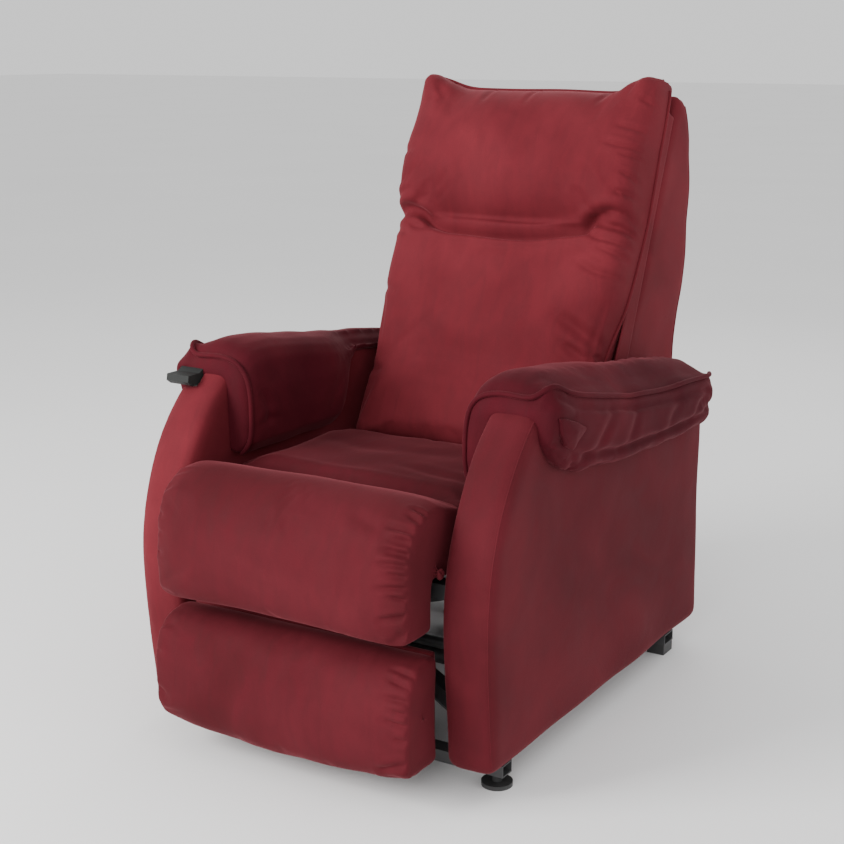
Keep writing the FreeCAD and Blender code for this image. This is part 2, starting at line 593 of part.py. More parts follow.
tie_reach = size("rear_link_layer")
keep("leg_tie_tube", pin("leg_tie_tube_bar", -tie_reach, tie_reach, LEG_TIE, 9.0))
keep("leg_cross_shaft", pin("leg_cross_shaft_bar", -186.5, 186.5, LEG_BOARD, 8.0))
keep("leg_tail_pins", fuse("leg_tail_pins_solid", [
    side_pin(f"tail_pin_{hand}", side, 170.5, 180.0, LEG_TAIL, "pin_rad") for side, hand in SIDES]))
middle_block("legrest_board", [(-421.0, 70.0), (-409.0, 70.0), (-409.0, 230.0), (-421.0, 230.0)],
             "legrest_board_half")
middle_block("legrest_pad",
             [(-421.0, 60.0), (-421.0, 238.0), (-450.0, 241.0), (-482.0, 233.0), (-506.0, 211.0), (-516.0, 180.0),
              (-517.0, 80.0), (-505.0, 57.0), (-435.0, 57.0)], "legrest_half", 4.0)

# ---------------------------------------------------------------- handset in its pocket

left = size("handset_left")
right = left + size("handset_wide")
handset = doc.addObject("PartDesign::Body", "handset_body")
sketch = new_sketch(handset, "handset_sketch")
draw_outline(sketch, [(-333.0, 575.0), (-323.0, "handset_low"), (-175.0, "handset_low"), (-171.0, 574.0),
                      (-171.0, 586.0), (-176.0, 592.0), (-292.0, 592.0), (-303.0, 586.0), (-331.0, 586.0)])
extrude(handset, sketch, "handset_pad", "handset_wide")
place_x(handset, (left, "Dims.handset_left"))
wide, gap = size("button_wide"), size("button_gap")
wells = []
for index, (label, x_middle) in enumerate((("raise", left + 14.0), ("lower", right - 14.0))):
    wells.append(box(f"handset_well_{label}", x_middle - wide / 2 - gap, x_middle + wide / 2 + gap,
                     -282.0 - gap, -264.0 + gap, 588.0, 600.0))
    keep(f"handset_button_{label}", box(f"handset_button_{label}_key", x_middle - wide / 2, x_middle + wide / 2,
                                        -282.0, -264.0, 589.5, 593.5))
handset.Label = "handset_blank"
keep("handset_body", cut("handset_body_solid", handset, fuse("handset_wells", wells)))
keep("handset_holder", fuse("handset_holder_solid", [
    box("handset_tray", -339.0, -301.5, -312.0, -165.0, 565.0, 567.7),
    box("handset_stop", -339.0, -301.5, -168.0, -165.0, 567.7, 585.0)]))

for both, single in (("base_side_rails", "base_side_rail"), ("base_lift_brackets", "base_lift_bracket"),
                     ("front_feet", "front_foot"), ("rear_feet", "rear_foot"), ("lift_arms", "lift_arm"),
                     ("guide_links", "guide_link"), ("arm_bolts", "arm_bolts"),
                     ("seat_pivot_pins", "seat_pivot_pins"), ("back_hinge_brackets", "back_hinge_bracket"),
                     ("leg_rear_links", "leg_rear_link"), ("leg_control_links", "leg_control_link"),
                     ("leg_board_rods", "leg_board_rod"), ("leg_knee_pins", "leg_knee_pins"),
                     ("legrest_brackets", "legrest_bracket")):
    pair(both, f"{single}_right", f"{single}_left")
pair("leg_front_links", "leg_front_link_right", "leg_front_link_left", "leg_tail_pins")

# ---------------------------------------------------------------- checks and files

doc.recompute()
failed = [obj.Name for obj in doc.Objects if {"Invalid", "Error"} & set(obj.State)]
if failed:
    raise RuntimeError(f"these objects failed: {failed}")
os.makedirs("parts", exist_ok=True)
for name, obj in sorted(nodes.items()):
    if obj.Shape.isNull() or not obj.Shape.isValid():
        raise RuntimeError(f"{name} has no valid shape")
    if obj.Label != name:
        raise RuntimeError(f"{name} is labelled {obj.Label}")
    if obj.Shape.Volume < 1.0 or not obj.Shape.Solids:
        raise RuntimeError(f"{name} has no solid")
    obj.Shape.exportStep(f"parts/{name}.step")
    bounds = obj.Shape.BoundBox
    print(f"{name:26s} {len(obj.Shape.Solids)} solid, y {bounds.YMin:7.1f} {bounds.YMax:7.1f}"
          f"  z {bounds.ZMin:7.1f} {bounds.ZMax:7.1f}")
print(len(nodes), "sub-parts")
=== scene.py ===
import json
import math

import bpy
import numpy as np
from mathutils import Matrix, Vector
from mathutils.bvhtree import BVHTree


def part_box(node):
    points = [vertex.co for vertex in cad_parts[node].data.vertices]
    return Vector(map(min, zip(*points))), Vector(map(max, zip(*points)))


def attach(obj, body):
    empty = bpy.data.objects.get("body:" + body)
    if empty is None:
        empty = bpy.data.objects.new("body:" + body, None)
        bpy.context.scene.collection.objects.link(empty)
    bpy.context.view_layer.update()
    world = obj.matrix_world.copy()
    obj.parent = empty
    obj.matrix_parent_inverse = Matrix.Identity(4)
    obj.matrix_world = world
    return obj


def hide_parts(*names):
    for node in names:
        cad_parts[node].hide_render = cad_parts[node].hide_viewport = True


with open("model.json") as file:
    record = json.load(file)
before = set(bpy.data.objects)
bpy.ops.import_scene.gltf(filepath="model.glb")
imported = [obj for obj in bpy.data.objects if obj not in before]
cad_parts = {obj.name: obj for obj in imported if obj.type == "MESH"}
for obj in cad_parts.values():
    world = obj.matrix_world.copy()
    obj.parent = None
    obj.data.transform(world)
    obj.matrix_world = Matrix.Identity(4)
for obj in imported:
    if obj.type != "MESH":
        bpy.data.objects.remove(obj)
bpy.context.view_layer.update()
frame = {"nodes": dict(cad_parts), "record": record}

MM = 0.001
HANDS = (("left", 1), ("right", -1))
scene = bpy.context.scene

# ---------------------------------------------------------------- camera, lights and the world

CAMERA_AT = Vector((1.3645, -2.2831, 1.1318))
CAMERA_TO = Vector((0.0073, -0.0500, 0.5041))
LENS, SHIFT_X, SHIFT_Y = 65.87, -0.0136, -0.0110


def aim(obj, target):
    obj.rotation_euler = (target - obj.location).to_track_quat("-Z", "Y").to_euler()


camera_data = bpy.data.cameras.new("camera")
camera_data.lens, camera_data.sensor_width = LENS, 36.0
camera_data.shift_x, camera_data.shift_y = SHIFT_X, SHIFT_Y
camera = bpy.data.objects.new("camera", camera_data)
scene.collection.objects.link(camera)
camera.location = CAMERA_AT
aim(camera, CAMERA_TO)
scene.camera = camera


def add_light(name, place, target, width, height, power, colour=(1.0, 1.0, 1.0)):
    data = bpy.data.lights.new(name, "AREA")
    data.shape, data.size, data.size_y = "RECTANGLE", width, height
    data.energy, data.color = power, colour
    light = bpy.data.objects.new(name, data)
    scene.collection.objects.link(light)
    light.location = place
    aim(light, Vector(target))


add_light("key_light", (-2.0, -2.9, 2.1), (0.0, -0.1, 0.5), 1.8, 1.8, 165.0, (1.0, 0.985, 0.97))
add_light("front_light", (1.0, -3.6, 1.5), (0.0, 0.0, 0.5), 2.0, 1.6, 70.0)
add_light("side_light", (3.2, 0.2, 1.3), (0.2, 0.0, 0.5), 1.8, 1.8, 26.0, (0.98, 0.99, 1.0))
add_light("rear_light", (-0.6, 2.8, 2.4), (0.0, 0.2, 0.7), 1.6, 1.6, 16.0)

world = bpy.data.worlds.new("studio")
world.use_nodes = True
world.node_tree.nodes["Background"].inputs["Color"].default_value = (1.0, 1.0, 1.0, 1.0)
world.node_tree.nodes["Background"].inputs["Strength"].default_value = 1.0
scene.world = world

# ---------------------------------------------------------------- mesh helpers


def link_mesh(name, verts, faces):
    mesh = bpy.data.meshes.new(name)
    mesh.from_pydata([tuple(v) for v in verts], [], faces)
    mesh.update()
    obj = bpy.data.objects.new(name, mesh)
    scene.collection.objects.link(obj)
    return obj


def get_points(obj):
    co = np.empty(len(obj.data.vertices) * 3)
    obj.data.vertices.foreach_get("co", co)
    return co.reshape(-1, 3)


def set_points(obj, co):
    obj.data.vertices.foreach_set("co", co.ravel())
    obj.data.update()


def get_normals(obj):
    nor = np.empty(len(obj.data.vertices) * 3)
    obj.data.vertex_normals.foreach_get("vector", nor)
    return nor.reshape(-1, 3)


def apply_modifiers(obj):
    graph = bpy.context.evaluated_depsgraph_get()
    mesh = bpy.data.meshes.new_from_object(obj.evaluated_get(graph))
    old = obj.data
    obj.modifiers.clear()
    obj.data = mesh
    mesh.name = obj.name
    bpy.data.meshes.remove(old)


def remesh(obj, voxel, smoothing):
    modifier = obj.modifiers.new("Remesh", "REMESH")
    modifier.mode, modifier.voxel_size, modifier.use_smooth_shade = "VOXEL", voxel, True
    smooth(obj, smoothing)


def smooth(obj, iterations):
    if iterations:
        modifier = obj.modifiers.new("Smooth", "SMOOTH")
        modifier.factor, modifier.iterations = 0.5, iterations
    apply_modifiers(obj)


def subdivide(obj):
    modifier = obj.modifiers.new("Subdivision", "SUBSURF")
    modifier.levels = modifier.render_levels = 1
    apply_modifiers(obj)
    for polygon in obj.data.polygons:
        polygon.use_smooth = True


def inflate(obj, pressure, cap, pinned, frames=20):
    """Cloth under pressure swells the shell, held along its seams. No point moves further than cap."""
    before = get_points(obj)
    group = obj.vertex_groups.new(name="pins")
    weights = pinned(before)
    for weight in np.unique(weights[weights > 0]):
        group.add([int(i) for i in np.where(weights == weight)[0]], float(weight), "REPLACE")
    cloth = obj.modifiers.new("Cloth", "CLOTH")
    settings = cloth.settings
    settings.quality = 6
    settings.mass = 0.25
    settings.tension_stiffness = settings.compression_stiffness = 12.0
    settings.shear_stiffness = 4.0
    settings.bending_stiffness = 0.6
    settings.use_pressure = True
    settings.uniform_pressure_force = pressure
    settings.effector_weights.gravity = 0.0
    settings.vertex_group_mass = "pins"
    cloth.point_cache.frame_start, cloth.point_cache.frame_end = 1, frames
    for number in range(1, frames + 1):
        scene.frame_set(number)
    apply_modifiers(obj)
    scene.frame_set(1)
    obj.vertex_groups.clear()
    move = get_points(obj) - before
    length = np.linalg.norm(move, axis=1, keepdims=True) + 1e-9
    set_points(obj, before + move * (cap * np.tanh(length / cap) / length))


def ramp(value, low, high):
    t = np.clip((value - low) / (high - low), 0.0, 1.0)
    return t * t * (3.0 - 2.0 * t)


def curve_value(x, pairs):
    return np.interp(x, [p[0] for p in pairs], [p[1] for p in pairs])


def smooth_line(points, step):
    """Points along a smooth curve through the given ones, about step apart."""
    points = np.asarray(points, float)
    if len(points) > 2:
        ends = np.vstack([2 * points[0] - points[1], points, 2 * points[-1] - points[-2]])
        rows = []
        for a, b, c, d in zip(ends, ends[1:], ends[2:], ends[3:]):
            for t in np.linspace(0, 1, 12, endpoint=False):
                rows.append(0.5 * (2 * b + (c - a) * t + (2 * a - 5 * b + 4 * c - d) * t * t
                                   + (3 * b - a - 3 * c + d) * t ** 3))
        points = np.vstack([rows, points[-1:]])
    along = np.concatenate([[0], np.cumsum(np.linalg.norm(np.diff(points, axis=0), axis=1))])
    at = np.linspace(0, along[-1], max(2, int(along[-1] / step) + 1))
    return np.stack([np.interp(at, along, points[:, k]) for k in range(points.shape[1])], axis=1)


def distance_to(flat, line):
    """Distance of each 2-D point from a polyline, and where along it (0 to 1) the nearest point is."""
    best = np.full(len(flat), 1e9)
    where = np.zeros(len(flat))
    lengths = np.linalg.norm(np.diff(line, axis=0), axis=1)
    total, run = lengths.sum(), 0.0
    for start, end, length in zip(line, line[1:], lengths):
        t = np.clip(((flat - start) @ (end - start)) / max(length * length, 1e-12), 0, 1)
        gap = np.linalg.norm(flat - (start + t[:, None] * (end - start)), axis=1)
        nearer = gap < best
        best = np.where(nearer, gap, best)
        where = np.where(nearer, (run + t * length) / total, where)
        run += length
    return best, where


def press(obj, to_flat, facing, creases):
    """Presses creases into a surface. Each one is (points, depth, width) in millimetres, in the flat
    coordinates that to_flat gives. facing says how much each point takes part, from its normal."""
    co, nor = get_points(obj), get_normals(obj)
    flat = to_flat(co)
    share = facing(co, nor)
    push = np.zeros(len(co))
    for points, depth, width in creases:
        line = smooth_line(points, 6.0)
        close = np.abs(flat - line.mean(0)).max(1) < np.ptp(line, axis=0).max() + 6 * width
        near = np.where(close & (share > 0))[0]
        if not len(near):
            continue
        gap, where = distance_to(flat[near], line)
        taper = np.sqrt(np.clip(np.sin(np.pi * np.clip(where, 0.02, 0.98)), 0, 1))
        push[near] -= depth * np.exp(-(gap / width) ** 2) * taper
        push[near] += 0.3 * depth * np.exp(-((gap - 2.1 * width) / width) ** 2) * taper
    set_points(obj, co + nor * (push * share * MM)[:, None])


def wobble(obj, amplitude, wavelength, seed):
    """Slow uneven swelling, so that no face is a perfect sweep. Amplitude and wavelength in millimetres."""
    rng = np.random.default_rng(seed)
    co, nor = get_points(obj), get_normals(obj)
    total = np.zeros(len(co))
    for _ in range(10):
        direction = rng.normal(size=3)
        direction *= 2 * math.pi / (wavelength * MM * rng.uniform(0.7, 1.6)) / np.linalg.norm(direction)
        total += np.sin(co @ direction + rng.uniform(0, 6.28))
    set_points(obj, co + nor * (total / 3.2 * amplitude * MM)[:, None])


def surface_of(obj):
    return BVHTree.FromPolygons([v.co.copy() for v in obj.data.vertices],
                                [tuple(p.vertices) for p in obj.data.polygons])


def piping(name, points, radius, body, slot_name, on, lift=0.4, material=None):
    """A welt: a cord in cloth along a seam. Its points (mm) are drawn onto the piece it lies on."""
    line = smooth_line(points, 9.0) * MM
    tree = surface_of(on)
    placed = []
    for point in line:
        spot, normal, _, _ = tree.find_nearest(Vector(point))
        placed.append(np.array(spot) + np.array(normal) * radius * lift * MM)
    line = np.array(placed)
    for _ in range(3):
        line[1:-1] = 0.25 * line[:-2] + 0.5 * line[1:-1] + 0.25 * line[2:]
    curve = bpy.data.curves.new(name, "CURVE")
    curve.dimensions, curve.bevel_depth, curve.bevel_resolution = "3D", radius * MM, 3
    curve.use_fill_caps = True
    spline = curve.splines.new("NURBS")
    spline.points.add(len(line) - 1)
    for spot, point in zip(spline.points, line):
        spot.co = (*point, 1.0)
    spline.use_endpoint_u = True
    spline.order_u = 4
    obj = bpy.data.objects.new(name, curve)
    scene.collection.objects.link(obj)
    obj.data.materials.append(material or MATERIALS[slot_name])
    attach(obj, body)
    return obj


def finish_soft(obj, body, slot_name, nodes, shade=None):
    obj.data.materials.clear()
    # shade, when given, is a darker copy of the velvet that paints shade onto the piece
    obj.data.materials.append(MATERIALS[shade or slot_name])
    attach(obj, body)
    if nodes:
        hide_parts(*nodes)


# ---------------------------------------------------------------- materials

def start_material(name):
    material = bpy.data.materials.new(name)
    material.use_nodes = True
    tree = material.node_tree
    return material, tree, tree.nodes["Principled BSDF"]


def add_noise(tree, vector, scale, detail, distortion=0.0):
    node = tree.nodes.new("ShaderNodeTexNoise")
    node.inputs["Scale"].default_value = scale
    node.inputs["Detail"].default_value = detail
    node.inputs["Distortion"].default_value = distortion
    tree.links.new(vector, node.inputs["Vector"])
    return node.outputs["Fac"]


def add_ramp(tree, factor, stops):
    node = tree.nodes.new("ShaderNodeValToRGB")
    ends = node.color_ramp.elements
    while len(ends) < len(stops):
        ends.new(0.5)
    for element, (place, colour) in zip(ends, stops):
        element.position, element.color = place, (*colour, 1.0)
    tree.links.new(factor, node.inputs["Fac"])
    return node.outputs["Color"]


def add_mix(tree, factor, first, second, kind="MIX"):
    node = tree.nodes.new("ShaderNodeMix")
    node.data_type, node.blend_type = "RGBA", kind
    for socket, value in ((node.inputs["Factor"], factor), (node.inputs[6], first), (node.inputs[7], second)):
        if hasattr(value, "is_output"):
            tree.links.new(value, socket)
        else:
            socket.default_value = value
    return node.outputs[2]


def add_bump(tree, height, strength, distance, below=None):
    node = tree.nodes.new("ShaderNodeBump")
    node.inputs["Strength"].default_value = strength
    node.inputs["Distance"].default_value = distance
    tree.links.new(height, node.inputs["Height"])
    if below is not None:
        tree.links.new(below, node.inputs["Normal"])
    return node.outputs["Normal"]


def stretched(tree, vector, scale, turn=(0.0, 0.0, 0.0)):
    node = tree.nodes.new("ShaderNodeMapping")
    node.inputs["Scale"].default_value = scale
    node.inputs["Rotation"].default_value = turn
    tree.links.new(vector, node.inputs["Vector"])
    return node.outputs["Vector"]


def velvet(name, dark, middle, light, sheen):
    """Short-pile velvet: brushed patches of nap, faint streaks, pile grain and a soft sheen."""
    material, tree, shader = start_material(name)
    place = tree.nodes.new("ShaderNodeTexCoord").outputs["Object"]
    patches = add_noise(tree, place, 4.2, 4.0, 0.6)
    colour = add_ramp(tree, patches, ((0.30, dark), (0.50, middle), (0.72, light)))
    strokes = add_noise(tree, stretched(tree, place, (14.0, 5.0, 5.0), (0.4, 0.2, 0.5)), 3.0, 5.0, 0.8)
    shade = add_ramp(tree, strokes,
                     ((0.34, (0.88, 0.86, 0.87)), (0.56, (1.0, 1.0, 1.0)), (0.74, (1.08, 1.10, 1.09))))
    colour = add_mix(tree, 0.75, colour, shade, "MULTIPLY")
    pile = add_noise(tree, place, 900.0, 2.0)
    grain = add_ramp(tree, pile, ((0.3, (0.86, 0.84, 0.85)), (0.7, (1.08, 1.08, 1.08))))
    colour = add_mix(tree, 0.6, colour, grain, "MULTIPLY")
    tree.links.new(colour, shader.inputs["Base Color"])
    rough = tree.nodes.new("ShaderNodeMapRange")
    rough.inputs["To Min"].default_value, rough.inputs["To Max"].default_value = 0.66, 0.92
    tree.links.new(strokes, rough.inputs["Value"])
    tree.links.new(rough.outputs["Result"], shader.inputs["Roughness"])
    shader.inputs["Specular IOR Level"].default_value = 0.10
    shader.inputs["Sheen Weight"].default_value = sheen
    shader.inputs["Sheen Roughness"].default_value = 0.34
    shader.inputs["Sheen Tint"].default_value = (1.0, 0.26, 0.31, 1.0)
    normal = add_bump(tree, strokes, 0.22, 0.0022)
    normal = add_bump(tree, add_noise(tree, place, 120.0, 3.0), 0.16, 0.0008, normal)
    tree.links.new(add_bump(tree, pile, 0.30, 0.0004, normal), shader.inputs["Normal"])
    return material


def plain(name, low, high, scale, rough_low, rough_high, metallic, bump, specular, coat):
    """Metal or plastic: slight colour variation, uneven gloss, fine surface grain and worn edges."""
    material, tree, shader = start_material(name)
    place = tree.nodes.new("ShaderNodeTexCoord").outputs["Object"]
    cloud = add_noise(tree, place, scale, 5.0, 0.3)
    colour = add_ramp(tree, cloud, ((0.32, low), (0.68, high)))
    edge = tree.nodes.new("ShaderNodeNewGeometry").outputs["Pointiness"]
    worn = add_ramp(tree, edge, ((0.50, (0.0, 0.0, 0.0)), (0.60, (1.0, 1.0, 1.0))))
    lighter = tuple(min(1.0, c * 1.6 + 0.02) for c in high) + (1.0,)
    amount = tree.nodes.new("ShaderNodeMath")
    amount.operation = "MULTIPLY"
    amount.inputs[1].default_value = 0.35
    tree.links.new(worn, amount.inputs[0])
    tree.links.new(add_mix(tree, amount.outputs[0], colour, lighter), shader.inputs["Base Color"])
    gloss = tree.nodes.new("ShaderNodeMapRange")
    gloss.inputs["To Min"].default_value, gloss.inputs["To Max"].default_value = rough_low, rough_high
    tree.links.new(add_noise(tree, place, scale * 6.0, 4.0), gloss.inputs["Value"])
    tree.links.new(gloss.outputs["Result"], shader.inputs["Roughness"])
    shader.inputs["Metallic"].default_value = metallic
    shader.inputs["Coat Weight"].default_value = coat
    shader.inputs["Specular IOR Level"].default_value = specular
    grain = add_noise(tree, place, scale * 90.0, 3.0)
    tree.links.new(add_bump(tree, grain, bump, 0.0004), shader.inputs["Normal"])
    return material


def wood(name):
    material, tree, shader = start_material(name)
    place = tree.nodes.new("ShaderNodeTexCoord").outputs["Object"]
    rings = add_noise(tree, stretched(tree, place, (1.2, 14.0, 14.0)), 6.0, 6.0, 1.4)
    colour = add_ramp(tree, rings,
                      ((0.30, (0.36, 0.23, 0.12)), (0.50, (0.52, 0.37, 0.22)), (0.72, (0.62, 0.47, 0.30))))
    pores = add_noise(tree, stretched(tree, place, (20.0, 400.0, 400.0)), 3.0, 3.0)
    darker = add_ramp(tree, pores, ((0.35, (0.7, 0.66, 0.6)), (0.6, (1.0, 1.0, 1.0))))
    tree.links.new(add_mix(tree, 0.4, colour, darker, "MULTIPLY"), shader.inputs["Base Color"])
    shader.inputs["Roughness"].default_value = 0.68
    tree.links.new(add_bump(tree, pores, 0.25, 0.0005), shader.inputs["Normal"])
    return material


VELVETS = {
    # name: dark, middle and light tint, sheen; the seat, arm cap and low copies are the same velvet with
    # darker tints, painted shade where these pieces catch less light
    "velvet": ((0.088, 0.0085, 0.0130), (0.112, 0.0118, 0.0175), (0.138, 0.0160, 0.0225), 0.16),
    "low_painted_shade_velvet": ((0.056, 0.0050, 0.0082), (0.073, 0.0072, 0.0115), (0.092, 0.0102, 0.0155), 0.16),
    "seat_painted_shade_velvet": ((0.038, 0.0028, 0.0052), (0.050, 0.0040, 0.0072), (0.066, 0.0062, 0.0105), 0.10),
    "arm_velvet": ((0.040, 0.0022, 0.0056), (0.054, 0.0034, 0.0076), (0.074, 0.0058, 0.0108), 0.12),
}
PLAINS = {
    # name: low and high tint, cloud scale, lowest and highest roughness, metallic, bump, specular, coat
    "frame_steel": ((0.016, 0.016, 0.017), (0.030, 0.030, 0.031), 9.0, 0.38, 0.56, 0.0, 0.30, 0.5, 0.0),
    "bright_steel": ((0.42, 0.42, 0.43), (0.62, 0.62, 0.63), 14.0, 0.24, 0.42, 1.0, 0.08, 0.5, 0.0),
    "motor_plastic": ((0.018, 0.018, 0.019), (0.034, 0.034, 0.036), 12.0, 0.42, 0.60, 0.0, 0.40, 0.5, 0.0),
    "foot_plastic": ((0.010, 0.010, 0.010), (0.022, 0.022, 0.022), 16.0, 0.42, 0.62, 0.0, 0.25, 0.5, 0.0),
    "handset_plastic": ((0.0030, 0.0036, 0.0034), (0.0075, 0.0088, 0.0082), 22.0, 0.55, 0.70, 0.0, 0.35, 0.22,
                        0.0),
    "button_plastic": ((0.30, 0.33, 0.33), (0.46, 0.50, 0.50), 30.0, 0.22, 0.34, 0.0, 0.10, 0.5, 0.3),
}
MATERIALS = {name: velvet(name, *values) for name, values in VELVETS.items()}
MATERIALS.update({name: plain(name, *values) for name, values in PLAINS.items()})
MATERIALS["board_wood"] = wood("board_wood")

slots = {part["node"]: part["material_slot"] for part in frame["record"]["subparts"]}
for node_name, node in frame["nodes"].items():
    node.data.materials.clear()
    node.data.materials.append(MATERIALS[slots[node_name]])

# ---------------------------------------------------------------- cushions that start from their CAD solids

def start_from(node_name, name, voxel, smoothing):
    obj = bpy.data.objects.new(name, frame["nodes"][node_name].data.copy())
    scene.collection.objects.link(obj)
    remesh(obj, voxel, smoothing)
    return obj


def shift_out(obj, amount):
    set_points(obj, get_points(obj) + get_normals(obj) * amount * MM)


def middle(node_name):
    low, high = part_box(node_name)
    return np.array((low + high) / 2)


def off_the_ends(co, nor):
    return ramp(1 - np.abs(nor[:, 0]), 0.04, 0.45)


def around(centre, radius):
    """Flat coordinates in mm for a roll along X: x, and the way round from its front, positive upward."""
    def to_flat(co):
        angle = np.arctan2(co[:, 2] - centre[2], centre[1] - co[:, 1])
        return np.stack([co[:, 0] / MM, angle * radius], axis=1)
    return to_flat


def soften_ends(obj, node_name, reach, inset):
    """Rounds a roll's two ends: its outline draws in towards its middle over the last reach mm."""
    low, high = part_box(node_name)
    centre = middle(node_name)
    co = get_points(obj)
    gap = np.clip((high.x - np.abs(co[:, 0])) / (reach * MM), 0, 1)
    amount = inset * MM * (1 - np.sqrt(np.clip(1 - (1 - gap) ** 2, 0, 1)))
    inward = centre[None, 1:] - co[:, 1:]
    length = np.linalg.norm(inward, axis=1, keepdims=True) + 1e-9
    co[:, 1:] += inward / length * amount[:, None]
    set_points(obj, co)


def side_ticks(rng, x_edge, reach, at, depth, width, slant=10.0):
    """Gathers that run in from a sewn side: one short crease for each place in at."""
    creases = []
    for place in at:
        run = reach * rng.uniform(0.6, 1.25)
        lean = rng.uniform(-slant, slant)
        inner = x_edge - math.copysign(run, x_edge)
        creases.append(([(x_edge, place), ((x_edge + inner) / 2, place + lean * 0.3), (inner, place + lean)],
                        depth * rng.uniform(0.6, 1.2), width * rng.uniform(0.8, 1.2)))
    return creases


# the seat's front roll
roll = start_from("seat_bolster", "bolster_cushion", 0.006, 5)
soften_ends(roll, "seat_bolster", 46.0, 18.0)
shift_out(roll, -6.0)
roll_centre = middle("seat_bolster")
roll_flat = around((0.0, roll_centre[1], roll_centre[2]), 110.0)
inflate(roll, 4.0, 0.016, lambda co: (np.abs(co[:, 0]) > 0.234).astype(float))
subdivide(roll)
rng = np.random.default_rng(11)
press(roll, roll_flat, off_the_ends, (
    side_ticks(rng, 243.0, 46.0, (150, 128, 104, 84, 62, 40, 18, -4, -30, -58, -84), 5.5, 5.5)
    + side_ticks(rng, -243.0, 34.0, (140, 96, 52, 10, -40), 3.0, 6.0)
    + [([(-190, 60), (-60, 74), (80, 66)], 1.6, 26.0), ([(60, 10), (150, 30), (215, 20)], 2.2, 20.0),
       ([(-150, -30), (-20, -18), (120, -30)], 1.6, 24.0), ([(120, 118), (170, 100), (220, 96)], 3.0, 12.0)]))
wobble(roll, 1.6, 130.0, 3)
# the roll takes the darker low copy of the velvet: painted shade
finish_soft(roll, "carriage", "velvet", ["seat_bolster"], "low_painted_shade_velvet")

# the seat cushion behind it
seat = start_from("seat_cushion", "seat_pad", 0.008, 5)
soften_ends(seat, "seat_cushion", 40.0, 12.0)
shift_out(seat, -5.0)
inflate(seat, 4.0, 0.014, lambda co: (np.abs(co[:, 0]) > 0.236).astype(float))
subdivide(seat)
press(seat, lambda co: co[:, :2] / MM, lambda co, nor: ramp(nor[:, 2], 0.2, 0.6),
      [([(-240, -300), (0, -306), (240, -300)], 6.0, 12.0),
       ([(-200, -120), (-60, -150), (90, -130)], 2.0, 20.0),
       ([(40, -220), (140, -236), (225, -225)], 2.4, 12.0)])
wobble(seat, 1.2, 120.0, 5)
# the seat takes the darkest copy of the velvet: painted shade on its top
finish_soft(seat, "carriage", "velvet", ["seat_cushion"], "seat_painted_shade_velvet")

# the footrest pad
foot = start_from("legrest_pad", "footrest_cushion", 0.006, 5)
soften_ends(foot, "legrest_pad", 26.0, 7.0)
foot_low, foot_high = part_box("legrest_pad")
co = get_points(foot)
hang = 1 - ramp(co[:, 2], foot_low.z + 0.02, foot_low.z + 0.10)
co[:, 2] -= 0.018 * hang * (1 - (co[:, 0] / foot_high.x) ** 2)
set_points(foot, co)
shift_out(foot, -4.0)
inflate(foot, 4.0, 0.013,
        lambda co: ((np.abs(co[:, 0]) > 0.238) | (co[:, 1] > foot_high.y - 0.008)).astype(float))
subdivide(foot)
foot_flat = around((0.0, foot_high.y - 0.02, (foot_low.z + foot_high.z) / 2), 95.0)
rng = np.random.default_rng(23)
press(foot, foot_flat, off_the_ends, (
    side_ticks(rng, 245.0, 44.0, (96, 74, 52, 30, 4, -30, -66, -96), 4.6, 5.5, 14.0)
    + side_ticks(rng, -245.0, 26.0, (80, 30, -50), 2.6, 6.0)
    + [([(-200, 40), (-40, 52), (140, 34)], 1.6, 22.0), ([(-120, -60), (40, -74), (190, -50)], 1.8, 24.0)]))
wobble(foot, 1.4, 120.0, 9)
# the footrest takes the darker low copy of the velvet: painted shade
finish_soft(foot, "footrest", "velvet", ["legrest_pad"], "low_painted_shade_velvet")

# ---------------------------------------------------------------- the back: pillow and outer shell

# BACK_AT is the pillow's lower rear edge, and the other two are the back's own directions
BACK_LEAN = 0.278
cushion_low, cushion_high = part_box("back_cushion")
BACK_AT = np.array([0.0, cushion_high.y - BACK_LEAN, cushion_low.z])
BACK_UP = np.array([0.0, 0.3867, 0.9222])
BACK_OUT = np.array([0.0, -0.9222, 0.3867])


def back_point(x, up, out):
    return BACK_AT + np.array([x * MM, 0.0, 0.0]) + BACK_UP * up * MM + BACK_OUT * out * MM


def back_flat(co):
    return np.stack([co[:, 0] / MM, (co - BACK_AT) @ BACK_UP / MM], axis=1)


# the pillow, in mm up the back: its thickness, how far out its side seam lies, and its half-width
THICK = ((0, 96), (10, 116), (30, 120), (93, 107), (167, 93), (249, 98), (312, 101), (380, 98), (420, 91),
         (440, 80), (448, 80), (462, 104), (480, 119), (528, 127), (590, 122), (640, 108), (676, 92),
         (696, 76), (708, 58), (716, 30))
SIDE_SEAM = ((0, 45), (216, 42), (281, 22), (372, 6), (483, 6), (538, 14), (685, 20), (740, 22))
TUCK_UP = 444
EAR_LIFT, EAR_START, EAR_END = 22, 140, 232
HALF_WIDE = ((0, 230), (200, 234), (300, 241), (400, 247), (470, 252), (560, 251), (690, 251), (716, 246))


